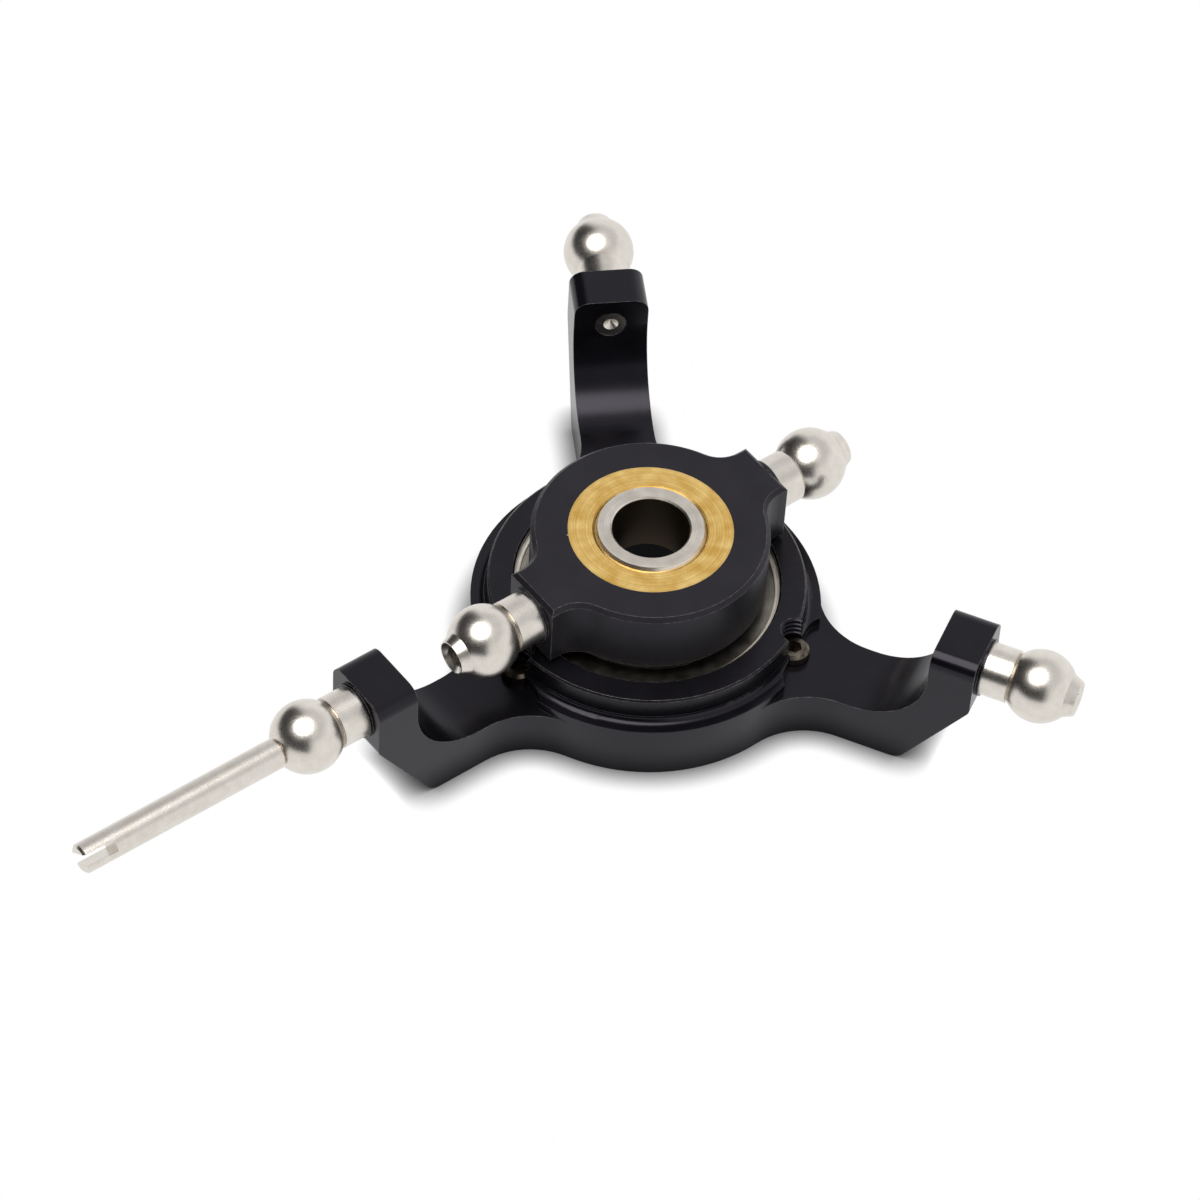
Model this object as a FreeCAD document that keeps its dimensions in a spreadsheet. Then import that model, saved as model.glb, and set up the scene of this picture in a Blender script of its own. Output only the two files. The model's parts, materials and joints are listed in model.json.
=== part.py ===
import FreeCAD, Part
import math
import os

import Sketcher

# Collective and cyclic swashplate of a small model helicopter, in millimetres.
# Frame: the origin is the centre of the uniball, about which the plate tilts. The mast runs
# along +Z, and the arm with the anti-rotation pin points along +X, towards the tail.
# Heights among the sizes are measured up from the plate's flat underside.

doc = FreeCAD.newDocument("Swashplate")
sheet = doc.addObject("Spreadsheet::Sheet", "Sizes")

SIZES = [
    ("mast_diameter", 5.0, "mast that slides in the uniball"),
    ("mast_gap", 0.01, "radial gap between mast and uniball"),
    ("uniball_diameter", 8.3, "spherical surface of the uniball"),
    ("uniball_height", 4.6, "between the uniball's two flats"),
    ("uniball_chamfer", 0.12, "at both mouths of the bore"),
    ("ball_seat_gap", 0.03, "radial gap between uniball and race rings"),
    ("race_wall", 1.17, "brass race rings at the ball's middle, measured radially"),
    ("race_height", 2.1, "height of each race ring"),
    ("race_floor", 0.3, "hub's underside up to the ledge that carries the race rings"),
    ("race_mouth_chamfer", 0.18, "at the wide mouth of each race ring"),
    ("race_shoulder_width", 0.9, "ledge in the hub that carries the lower race ring"),
    ("press_gap", 0.005, "radial gap of parts that are pressed together"),
    ("hub_diameter", 15.5, "disc of the rotating hub"),
    ("hub_gap", 0.35, "between bearing cap and hub disc"),
    ("hub_edge", 0.28, "chamfer round the hub's top edge"),
    ("lug_length", 1.75, "hub lug beyond the disc"),
    ("lug_width", 4.4, "across a hub lug"),
    ("lug_hollow", 2.0, "hollow corner between lug and disc"),
    ("lug_hole_spare", 0.3, "depth of a lug's hole beyond the stud's shank"),
    ("hub_shoulder", 0.6, "width of the hub's face that bears on the inner race"),
    ("spigot_wall", 1.0, "wall of the hub's spigot under the race rings"),
    ("spigot_end", 0.3, "height of the spigot's lower end"),
    ("spigot_chamfer", 0.25, "at the spigot's lower end"),
    ("bearing_bore", 12.0, "big bearing, inside"),
    ("bearing_section", 3.0, "big bearing, from its bore to its outside"),
    ("bearing_width", 4.0, "big bearing, along the mast"),
    ("bearing_ball", 1.588, "ball of the bearing"),
    ("bearing_ball_count", 15, "balls in the bearing"),
    ("groove_depth", 0.194, "how deep a ball lies in each race"),
    ("groove_gap", 0.03, "between a bearing ball and its grooves"),
    ("cage_wall", 0.6, "cage, measured radially"),
    ("cage_height", 2.3, "cage, along the mast"),
    ("cage_pocket_gap", 0.06, "between a ball and its pocket"),
    ("shield_sheet", 0.2, "sheet of the bearing's shields"),
    ("shield_inset", 0.15, "shield below the bearing's face"),
    ("shield_gap", 0.12, "between shield and inner race"),
    ("shield_seat", 0.25, "shield's edge in the outer race"),
    ("plate_floor", 1.3, "ledge of the plate under the bearing"),
    ("plate_ledge", 0.9, "width of that ledge under the outer race"),
    ("cap_wall", 1.42, "bearing's outside to the seam of cap and plate"),
    ("cap_gap", 0.02, "radial gap at the seam"),
    ("cap_foot_gap", 0.3, "under the bearing cap"),
    ("cap_lip", 0.55, "thickness of the cap's lip over the bearing"),
    ("cap_cover", 0.35, "how far the cap's lip covers the bearing's outer race"),
    ("cap_edge", 0.12, "chamfer at the cap's edges"),
    ("shelf_width", 1.03, "shelf of the plate outside the seam"),
    ("shelf_step", 0.6, "shelf above the arms"),
    ("rim_width", 0.06, "rim that stands on the shelf beside the seam"),
    ("rim_height", 0.46, "height of that rim"),
    ("rim_fillet", 0.44, "hollow foot of the rim"),
    ("arm_floor", 3.4, "thickness of the arms"),
    ("arm_width", 5.0, "across an arm and its ear"),
    ("arm_mill_width", 7.0, "across the milled path over each arm's root"),
    ("arm_mill_gap", 0.1, "from the seam out to the end of that path"),
    ("arm_mill_corner", 1.5, "rounded corners at the end of that path"),
    ("arm_waist", 5.0, "hollow corner between arm and round base"),
    ("arm_sweep", 5.0, "curve from the arm's floor up to the ear"),
    ("toe_setback", 4.3, "ear's outer face back to where the underside turns up"),
    ("toe_round", 1.2, "rounding where the underside turns up"),
    ("ear_face", 23.2, "mast axis to the ear's outer face"),
    ("ear_thickness", 3.0, "ear, measured radially"),
    ("ear_rise", 2.1, "ear above the stud axis"),
    ("ear_drop", 1.9, "ear's flat outer face below the stud axis"),
    ("ear_heel_round", 0.8, "rounding at the foot of the ear's outer face"),
    ("ear_round", 1.0, "rounded top corners of the ear"),
    ("ear_drill_start", 0.2, "how far into the sweep the ear's hole begins"),
    ("stud_boss_diameter", 3.8, "raised seat under a stud's collar"),
    ("stud_boss_height", 0.2, "height of that seat"),
    ("stud_thread", 2.0, "threaded shank of a ball stud"),
    ("stud_shank", 3.2, "length of the shank"),
    ("stud_shank_gap", 0.03, "radial gap between shank and hole"),
    ("stud_collar", 3.5, "collar of a ball stud"),
    ("stud_reach", 3.55, "collar's seat to the ball's centre"),
    ("stud_neck_width", 0.22, "groove between collar and ball"),
    ("stud_neck_depth", 0.2, "depth of that groove"),
    ("link_ball", 4.75, "link ball"),
    ("nose_reach", 2.55, "ball's centre to its flat end"),
    ("nose_diameter", 2.3, "flat end of the ball"),
    ("nose_taper", 1.1, "how much wider the nose is, in radius, at the ball's middle"),
    ("socket_flats", 1.5, "hexagon socket across its flats"),
    ("socket_mouth", 2.15, "countersunk mouth of the socket"),
    ("socket_depth", 1.7, "depth of the hexagon socket"),
    ("shank_centre_drill", 1.0, "centre-drilled end of the shank"),
    ("pin_diameter", 2.0, "anti-rotation pin"),
    ("pin_reach", 16.95, "ball's centre to the pin's tip"),
    ("pin_groove_width", 0.2, "groove between ball and pin"),
    ("pin_groove_depth", 0.18, "depth of that groove"),
    ("pin_slot_width", 0.8, "screwdriver slot in the pin's tip"),
    ("pin_slot_depth", 2.2, "depth of the slot"),
    ("pin_slot_turn", 38.0, "degrees that the slot is turned up from level"),
    ("pin_tip_chamfer", 0.15, "chamfer at the pin's tip"),
    ("lock_thread", 2.0, "lock screw"),
    ("lock_gap", 0.03, "radial gap between lock screw and hole"),
    ("lock_length", 3.0, "length of a lock screw"),
    ("lock_stand", 0.8, "lock screws above the arms"),
    ("lock_chamfer", 0.2, "at both ends of a lock screw"),
    ("lock_drill", 0.2, "hole below the lock screw"),
    ("lock_socket", 0.9, "lock screw's hexagon across its flats"),
    ("lock_socket_depth", 1.0, "depth of that hexagon"),
    ("clip_sheet", 0.7, "thickness of the retaining ring"),
    ("clip_width", 1.1, "retaining ring, measured radially"),
    ("clip_groove", 0.25, "depth of its groove in the spigot"),
    ("clip_ear", 1.0, "radius of the retaining ring's ears"),
    ("clip_ear_gap", 0.3, "between those ears and the plate"),
    ("clip_eye", 0.8, "eye in each ear"),
    ("clip_opening", 2.4, "width of the ring's opening"),
]

for row, (alias, value, note) in enumerate(SIZES, start=1):
    sheet.set("A%d" % row, alias)
    sheet.set("B%d" % row, str(value))
    sheet.set("C%d" % row, note)
    sheet.setAlias("B%d" % row, alias)
doc.recompute()

FULL_TURN = 360.0
SAME = 1e-4
ARM_COUNT = 3
ARM_STEP = FULL_TURN / ARM_COUNT
# Angles round the mast at which arms and studs point.
TAIL = 0
RIGHT = ARM_STEP
LEFT = 2 * ARM_STEP
NOSE = FULL_TURN / 2


def spell(formula):
    """Write a formula in size names as an expression on the sheet."""
    words = {alias for alias, value, note in SIZES}
    spelled = ""
    word = ""
    for letter in formula + " ":
        if letter.isalnum() or letter == "_":
            word += letter
            continue
        spelled += "Sizes." + word if word in words else word
        spelled += letter
        word = ""
    return spelled.strip()


def number(formula):
    """Value of a formula in size names."""
    return float(sheet.evalExpression(spell(formula)))


# Heights and radii that several pieces share, as formulas in size names.
BEARING_TOP = "(plate_floor + bearing_width)"
BEARING_MIDDLE = "(plate_floor + bearing_width / 2)"
BEARING_OUTSIDE = "(bearing_bore / 2 + bearing_section)"
BALL_ORBIT = "((bearing_bore + bearing_section) / 2)"
RACE_SECTION = "((bearing_section - bearing_ball) / 2 + groove_depth)"
CAP_TOP = "(plate_floor + bearing_width + cap_lip)"
CAP_INSIDE = "(bearing_bore / 2 + bearing_section + press_gap)"
CAP_MOUTH = "(bearing_bore / 2 + bearing_section - cap_cover)"
SEAM = "(bearing_bore / 2 + bearing_section + cap_wall)"
SHELF_RADIUS = "(bearing_bore / 2 + bearing_section + cap_wall + shelf_width)"
SHELF_TOP = "(arm_floor + shelf_step)"
LEDGE_RADIUS = "(bearing_bore / 2 + bearing_section - plate_ledge)"
HUB_UNDERSIDE = "(plate_floor + bearing_width + cap_lip + hub_gap)"
RACE_FLOOR = "(plate_floor + bearing_width + cap_lip + hub_gap + race_floor)"
LINK_PLANE = "(plate_floor + bearing_width + cap_lip + hub_gap + race_floor + race_height)"
HUB_TOP = "(plate_floor + bearing_width + cap_lip + hub_gap + race_floor + 2 * race_height)"
SEAT_RADIUS = "(uniball_diameter / 2 + ball_seat_gap)"
RACE_OUTSIDE = "(uniball_diameter / 2 + ball_seat_gap + race_wall)"
RACE_POCKET = "(uniball_diameter / 2 + ball_seat_gap + race_wall + press_gap)"
SPIGOT_RADIUS = "(bearing_bore / 2 - press_gap)"
LUG_FACE = "(hub_diameter / 2 + lug_length)"
LUG_SEAT = "(hub_diameter / 2 + lug_length + stud_boss_height)"
EAR_BACK = "(ear_face - ear_thickness)"
EAR_SEAT = "(ear_face + stud_boss_height)"
ARM_TOE = "(ear_face - toe_setback)"
CLIP_FLOOR = "(plate_floor - clip_sheet)"
STUD_HOLE = "(stud_thread / 2 + stud_shank_gap)"
LOCK_HOLE = "(lock_thread / 2 + lock_gap)"
LOCK_BOTTOM = "(arm_floor + lock_stand - lock_length)"
RIM_TOP = "(arm_floor + shelf_step + rim_height)"


def new_body(label):
    """Start a sub-part that is drawn upwards from the plate's underside."""
    body = doc.addObject("PartDesign::Body", label)
    body.Label = label
    body.setExpression("Placement.Base.z", spell("-" + LINK_PLANE))
    doc.recompute()
    return body


def origin_part(body, role):
    """Origin plane or axis of a body, found by its role."""
    for feature in body.Origin.OriginFeatures:
        if feature.Role == role:
            return feature
    raise ValueError("no origin feature " + role)


def sketch_on(body, name, plane, offset="0"):
    """Sketch on an origin plane, moved along the plane's normal."""
    sketch = body.newObject("Sketcher::SketchObject", name)
    sketch.AttachmentSupport = [(origin_part(body, plane), "")]
    sketch.MapMode = "FlatFace"
    sketch.setExpression("AttachmentOffset.Base.z", spell(offset))
    return sketch


def place_point(sketch, geometry, point, across, up):
    """Hold a sketch point at coordinates given as formulas."""
    for kind, axis, formula in (("DistanceX", -2, across), ("DistanceY", -1, up)):
        if formula == "0":
            sketch.addConstraint(Sketcher.Constraint("PointOnObject", geometry, point, axis))
            continue
        rule = Sketcher.Constraint(kind, -1, 1, geometry, point, number(formula))
        index = sketch.addConstraint(rule)
        sketch.setExpression("Constraints[%d]" % index, spell(formula))


def draw_outline(sketch, corners):
    """Closed outline through corners given as pairs of formulas."""
    spots = [FreeCAD.Vector(number(across), number(up), 0) for across, up in corners]
    first = sketch.GeometryCount
    count = len(corners)
    for index in range(count):
        line = Part.LineSegment(spots[index], spots[(index + 1) % count])
        sketch.addGeometry(line, False)
    for index in range(count):
        following = first + (index + 1) % count
        joint = Sketcher.Constraint("Coincident", first + index, 2, following, 1)
        sketch.addConstraint(joint)
    for index, (across, up) in enumerate(corners):
        place_point(sketch, first + index, 1, across, up)


def draw_circle(sketch, radius, across="0", up="0"):
    """Circle with its radius and centre given as formulas."""
    centre = FreeCAD.Vector(number(across), number(up), 0)
    circle = Part.Circle(centre, FreeCAD.Vector(0, 0, 1), number(radius))
    index = sketch.addGeometry(circle, False)
    rule = sketch.addConstraint(Sketcher.Constraint("Radius", index, number(radius)))
    sketch.setExpression("Constraints[%d]" % rule, spell(radius))
    place_point(sketch, index, 3, across, up)


def draw_box(sketch, left, right, low, high):
    """Upright rectangle between four formulas."""
    draw_outline(sketch, [(left, low), (right, low), (right, high), (left, high)])


def extrude(body, kind, sketch, length, both_ways=False, backwards=False):
    """Pad or pocket a sketch by a length given as a formula."""
    feature = body.newObject("PartDesign::" + kind, sketch.Name + "_" + kind)
    feature.Profile = sketch
    feature.Length = number(length)
    feature.setExpression("Length", spell(length))
    if both_ways:
        feature.Midplane = True
    feature.Reversed = backwards
    doc.recompute()
    return feature


def turn(body, kind, sketch, axis="V_Axis"):
    """Revolve a sketch, or cut its ring, round one of its own axes."""
    feature = body.newObject("PartDesign::" + kind, sketch.Name + "_" + kind)
    feature.Profile = sketch
    feature.ReferenceAxis = (sketch, [axis])
    feature.Angle = FULL_TURN
    doc.recompute()
    return feature


def repeat(body, features, count, axis="Z_Axis"):
    """Repeat features evenly round an origin axis."""
    pattern = body.newObject("PartDesign::PolarPattern", features[0].Name + "_round")
    pattern.Originals = features
    pattern.Axis = (origin_part(body, axis), [""])
    pattern.Angle = FULL_TURN
    pattern.Occurrences = count
    body.Tip = pattern
    doc.recompute()
    return pattern


def pick_edges(feature, wanted):
    """Names of the edges of a feature that pass a test."""
    edges = feature.Shape.Edges
    return ["Edge%d" % (index + 1) for index, edge in enumerate(edges) if wanted(edge)]


def dress(body, kind, base, names, formula):
    """Fillet or chamfer named edges of a feature."""
    feature = body.newObject("PartDesign::" + kind, base.Name + "_" + kind)
    feature.Base = (base, names)
    size = "Radius" if kind == "Fillet" else "Size"
    setattr(feature, size, number(formula))
    feature.setExpression(size, spell(formula))
    doc.recompute()
    return feature


def middle(edge):
    """Point halfway along an edge."""
    return edge.valueAt((edge.FirstParameter + edge.LastParameter) / 2)


def reach(point):
    """Distance of a point from the mast axis."""
    return math.hypot(point.x, point.y)


def near(value, formula):
    """Whether a number is the value of a formula."""
    return math.isclose(value, number(formula), abs_tol=SAME)


def level(edge, formula):
    """Whether an edge lies all at one height."""
    return all(near(vertex.Z, formula) for vertex in edge.Vertexes) and near(middle(edge).z, formula)


def upright(edge):
    """Whether an edge is a vertical line."""
    if len(edge.Vertexes) < 2 or "Line" not in edge.Curve.TypeId:
        return False
    return math.isclose(abs(edge.tangentAt(edge.FirstParameter).z), 1, abs_tol=SAME)


def set_round(thing, angle, reach_formula, height, outward=False, roll=0):
    """Place a sub-part at an angle round the mast, its own +Z turned outwards if asked."""
    turned = FreeCAD.Rotation(FreeCAD.Vector(0, 0, 1), angle)
    if outward:
        turned = turned * FreeCAD.Rotation(FreeCAD.Vector(0, 1, 0), FULL_TURN / 4)
        turned = turned * FreeCAD.Rotation(FreeCAD.Vector(0, 0, 1), roll)
    thing.Placement = FreeCAD.Placement(FreeCAD.Vector(0, 0, 0), turned)
    thing.setExpression("Placement.Base.x", spell("(%s) * cos(%s deg)" % (reach_formula, angle)))
    thing.setExpression("Placement.Base.y", spell("(%s) * sin(%s deg)" % (reach_formula, angle)))
    thing.setExpression("Placement.Base.z", spell(height + " - " + LINK_PLANE))


# ---- Outer plate: round base, three arms and their upturned ears ----

def make_outer_plate():
    body = new_body("outer_plate")
    base = sketch_on(body, "plate_base", "XY_Plane")
    draw_circle(base, SHELF_RADIUS)
    extrude(body, "Pad", base, "arm_floor")

    arm = sketch_on(body, "arm_plan", "XY_Plane")
    draw_box(arm, "0", ARM_TOE, "-arm_width / 2", "arm_width / 2")
    arm_pad = extrude(body, "Pad", arm, "arm_floor")
    arms = repeat(body, [arm_pad], ARM_COUNT)

    def arm_root(edge):
        return upright(edge) and near(reach(middle(edge)), SHELF_RADIUS)

    dress(body, "Fillet", arms, pick_edges(arms, arm_root), "arm_waist")

    shelf = sketch_on(body, "shelf", "XY_Plane", "arm_floor")
    draw_circle(shelf, SHELF_RADIUS)
    extrude(body, "Pad", shelf, "shelf_step")
    rim = sketch_on(body, "rim", "XY_Plane", SHELF_TOP)
    draw_circle(rim, SEAM + " + rim_width")
    rim_pad = extrude(body, "Pad", rim, "rim_height")

    def rim_foot(edge):
        return level(edge, SHELF_TOP) and near(edge.Length, "2 * pi * (" + SEAM + " + rim_width)")

    dress(body, "Fillet", rim_pad, pick_edges(rim_pad, rim_foot), "rim_fillet")

    ear = sketch_on(body, "ear_side", "XZ_Plane")
    draw_outline(ear, [
        (SHELF_RADIUS, "0"),
        (ARM_TOE, "0"),
        ("ear_face", LINK_PLANE + " - ear_drop"),
        ("ear_face", LINK_PLANE + " + ear_rise"),
        (EAR_BACK, LINK_PLANE + " + ear_rise"),
        (EAR_BACK, "arm_floor"),
        (SHELF_RADIUS, "arm_floor"),
    ])
    ear_pad = extrude(body, "Pad", ear, "arm_width", both_ways=True)
    ears = repeat(body, [ear_pad], ARM_COUNT)

    def crosswise(edge, radius, height):
        if "Line" not in edge.Curve.TypeId or not near(edge.Length, "arm_width"):
            return False
        return near(reach(middle(edge)), radius) and near(middle(edge).z, height)

    sweeps = pick_edges(ears, lambda edge: crosswise(edge, EAR_BACK, "arm_floor"))
    swept = dress(body, "Fillet", ears, sweeps, "arm_sweep")
    toes = pick_edges(swept, lambda edge: crosswise(edge, ARM_TOE, "0"))
    toed = dress(body, "Fillet", swept, toes, "toe_round")
    ear_foot = LINK_PLANE + " - ear_drop"
    heels = pick_edges(toed, lambda edge: crosswise(edge, "ear_face", ear_foot))
    heeled = dress(body, "Fillet", toed, heels, "ear_heel_round")

    def ear_corner(edge):
        return level(edge, LINK_PLANE + " + ear_rise") and near(edge.Length, "ear_thickness")

    rounded = dress(body, "Fillet", heeled, pick_edges(heeled, ear_corner), "ear_round")

    boss = sketch_on(body, "stud_boss", "YZ_Plane", "ear_face")
    draw_circle(boss, "stud_boss_diameter / 2", "0", LINK_PLANE)
    boss_pad = extrude(body, "Pad", boss, "stud_boss_height")
    repeat(body, [boss_pad], ARM_COUNT)

    drill = sketch_on(body, "stud_hole", "YZ_Plane", EAR_BACK + " - ear_drill_start")
    draw_circle(drill, STUD_HOLE, "0", LINK_PLANE)
    through = "ear_drill_start + ear_thickness + stud_boss_height"
    hole = extrude(body, "Pocket", drill, through, backwards=True)
    repeat(body, [hole], ARM_COUNT)

    path_end = "(" + SEAM + " + arm_mill_gap)"
    corner_centre = "(" + SEAM + " + arm_mill_gap + arm_mill_corner)"
    half = "(arm_mill_width / 2)"
    inner_half = "(arm_mill_width / 2 - arm_mill_corner)"
    paths = []
    for start, side in ((path_end, inner_half), (corner_centre, half)):
        path = sketch_on(body, "arm_mill", "XY_Plane", "arm_floor")
        draw_box(path, start, EAR_BACK + " - arm_sweep", "-" + side, side)
        paths.append(path)
    for side in (inner_half, "-" + inner_half):
        corner = sketch_on(body, "arm_mill_round", "XY_Plane", "arm_floor")
        draw_circle(corner, "arm_mill_corner", corner_centre, side)
        paths.append(corner)
    mill_depth = "shelf_step + rim_height"
    milled = [extrude(body, "Pocket", path, mill_depth, backwards=True) for path in paths]
    repeat(body, milled, ARM_COUNT)

    bore = sketch_on(body, "plate_bore", "XZ_Plane")
    draw_outline(bore, [
        ("0", "0"),
        (LEDGE_RADIUS, "0"),
        (LEDGE_RADIUS, "plate_floor"),
        (SEAM, "plate_floor"),
        (SEAM, RIM_TOP),
        ("0", RIM_TOP),
    ])
    turn(body, "Groove", bore)

    lock = sketch_on(body, "lock_hole", "XY_Plane", LOCK_BOTTOM + " - lock_drill")
    draw_circle(lock, LOCK_HOLE, SEAM, "0")
    depth = RIM_TOP + " - " + LOCK_BOTTOM + " + lock_drill"
    tapped = extrude(body, "Pocket", lock, depth, backwards=True)
    repeat(body, [tapped], ARM_COUNT)
    return body


# ---- Bearing cap: ring over the bearing, its lip holding the outer race ----

def make_bearing_cap():
    body = new_body("bearing_cap")
    ring = sketch_on(body, "cap_ring", "XZ_Plane")
    outside = "(" + SEAM + " - cap_gap)"
    foot = "(plate_floor + cap_foot_gap)"
    draw_outline(ring, [
        (CAP_INSIDE, foot),
        (outside, foot),
        (outside, CAP_TOP + " - cap_edge"),
        (outside + " - cap_edge", CAP_TOP),
        (CAP_MOUTH + " + cap_edge", CAP_TOP),
        (CAP_MOUTH, CAP_TOP + " - cap_edge"),
        (CAP_MOUTH, BEARING_TOP),
        (CAP_INSIDE, BEARING_TOP),
    ])
    turn(body, "Revolution", ring)
    lock = sketch_on(body, "cap_lock_hole", "XY_Plane", "plate_floor")
    draw_circle(lock, LOCK_HOLE, SEAM, "0")
    tapped = extrude(body, "Pocket", lock, "bearing_width + cap_lip", backwards=True)
    repeat(body, [tapped], ARM_COUNT)
    return body


# ---- Big bearing: two races, balls in a cage, two shields ----

def make_bearing_outer_race():
    body = new_body("bearing_outer_race")
    ring = sketch_on(body, "outer_race", "XZ_Plane")
    inside = "(" + BEARING_OUTSIDE + " - " + RACE_SECTION + ")"
    seat = "(" + inside + " + shield_seat)"
    low = "(plate_floor + shield_inset + shield_sheet)"
    high = "(plate_floor + bearing_width - shield_inset - shield_sheet)"
    draw_outline(ring, [
        (seat, "plate_floor"),
        (BEARING_OUTSIDE, "plate_floor"),
        (BEARING_OUTSIDE, BEARING_TOP),
        (seat, BEARING_TOP),
        (seat, high),
        (inside, high),
        (inside, low),
        (seat, low),
    ])
    turn(body, "Revolution", ring)
    groove = sketch_on(body, "outer_groove", "XZ_Plane")
    draw_circle(groove, "bearing_ball / 2 + groove_gap", BALL_ORBIT, BEARING_MIDDLE)
    turn(body, "Groove", groove)
    return body


def make_bearing_inner_race():
    body = new_body("bearing_inner_race")
    ring = sketch_on(body, "inner_race", "XZ_Plane")
    shoulder = "bearing_bore / 2 + " + RACE_SECTION
    draw_box(ring, "bearing_bore / 2", shoulder, "plate_floor", BEARING_TOP)
    turn(body, "Revolution", ring)
    groove = sketch_on(body, "inner_groove", "XZ_Plane")
    draw_circle(groove, "bearing_ball / 2 + groove_gap", BALL_ORBIT, BEARING_MIDDLE)
    turn(body, "Groove", groove)
    return body


def make_shield(label, face_height):
    body = new_body(label)
    disc = sketch_on(body, label + "_section", "XZ_Plane")
    inner = "bearing_bore / 2 + " + RACE_SECTION + " + shield_gap"
    outer = BEARING_OUTSIDE + " - " + RACE_SECTION + " + shield_seat - press_gap"
    draw_box(disc, inner, outer, face_height, face_height + " + shield_sheet")
    turn(body, "Revolution", disc)
    return body


def make_bearing_cage():
    body = new_body("bearing_cage")
    ring = sketch_on(body, "cage_ring", "XZ_Plane")
    draw_box(
        ring,
        "-" + BALL_ORBIT + " - cage_wall / 2",
        "-" + BALL_ORBIT + " + cage_wall / 2",
        BEARING_MIDDLE + " - cage_height / 2",
        BEARING_MIDDLE + " + cage_height / 2",
    )
    turn(body, "Revolution", ring)
    pocket = sketch_on(body, "cage_pocket", "YZ_Plane")
    draw_circle(pocket, "bearing_ball / 2 + cage_pocket_gap", "0", BEARING_MIDDLE)
    window = extrude(body, "Pocket", pocket, BEARING_OUTSIDE, backwards=True)
    repeat(body, [window], int(number("bearing_ball_count")))
    return body


def make_bearing_balls():
    count = int(number("bearing_ball_count"))
    balls = []
    for index in range(count):
        ball = doc.addObject("Part::Sphere", "bearing_ball_%d" % (index + 1))
        ball.setExpression("Radius", spell("bearing_ball / 2"))
        set_round(ball, index * FULL_TURN / count, BALL_ORBIT, BEARING_MIDDLE)
        balls.append(ball)
    group = doc.addObject("Part::Compound", "bearing_balls")
    group.Links = balls
    return group


# ---- Rotating hub: disc with two lugs, shoulder and spigot ----

def make_rotating_hub():
    body = new_body("rotating_hub")
    disc = sketch_on(body, "hub_disc", "XY_Plane", HUB_UNDERSIDE)
    draw_circle(disc, "hub_diameter / 2")
    extrude(body, "Pad", disc, "race_floor + 2 * race_height")
    lugs = sketch_on(body, "hub_lugs", "XY_Plane", HUB_UNDERSIDE)
    draw_box(lugs, "-" + LUG_FACE, LUG_FACE, "-lug_width / 2", "lug_width / 2")
    lug_pad = extrude(body, "Pad", lugs, "race_floor + 2 * race_height")

    def lug_root(edge):
        return upright(edge) and near(reach(middle(edge)), "hub_diameter / 2")

    hollowed = dress(body, "Fillet", lug_pad, pick_edges(lug_pad, lug_root), "lug_hollow")
    top_edges = pick_edges(hollowed, lambda edge: level(edge, HUB_TOP))
    dress(body, "Chamfer", hollowed, top_edges, "hub_edge")

    spigot = sketch_on(body, "hub_spigot", "XZ_Plane")
    draw_outline(spigot, [
        ("0", HUB_UNDERSIDE),
        ("bearing_bore / 2 + hub_shoulder", HUB_UNDERSIDE),
        ("bearing_bore / 2 + hub_shoulder", BEARING_TOP),
        (SPIGOT_RADIUS, BEARING_TOP),
        (SPIGOT_RADIUS, "spigot_end + spigot_chamfer"),
        (SPIGOT_RADIUS + " - spigot_chamfer", "spigot_end"),
        ("0", "spigot_end"),
    ])
    turn(body, "Revolution", spigot)

    bore = sketch_on(body, "hub_bore", "XZ_Plane")
    draw_outline(bore, [
        ("0", "spigot_end"),
        (SPIGOT_RADIUS + " - spigot_wall", "spigot_end"),
        (SPIGOT_RADIUS + " - spigot_wall", BEARING_TOP),
        (RACE_POCKET + " - race_shoulder_width", BEARING_TOP),
        (RACE_POCKET + " - race_shoulder_width", RACE_FLOOR),
        (RACE_POCKET, RACE_FLOOR),
        (RACE_POCKET, HUB_TOP),
        ("0", HUB_TOP),
    ])
    turn(body, "Groove", bore)

    slot = sketch_on(body, "clip_groove", "XZ_Plane")
    draw_box(slot, SPIGOT_RADIUS + " - clip_groove", SPIGOT_RADIUS, CLIP_FLOOR, "plate_floor")
    turn(body, "Groove", slot)

    for side in (1, -1):
        seat = sketch_on(body, "lug_seat", "YZ_Plane", "%d * %s" % (side, LUG_FACE))
        draw_circle(seat, "stud_boss_diameter / 2", "0", LINK_PLANE)
        extrude(body, "Pad", seat, "stud_boss_height", backwards=side < 0)
        drill = sketch_on(body, "lug_hole", "YZ_Plane", "%d * %s" % (side, LUG_SEAT))
        draw_circle(drill, STUD_HOLE, "0", LINK_PLANE)
        extrude(body, "Pocket", drill, "stud_shank + lug_hole_spare", backwards=side < 0)
    return body


# ---- Retaining ring that holds the spigot in the bearing ----

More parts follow.
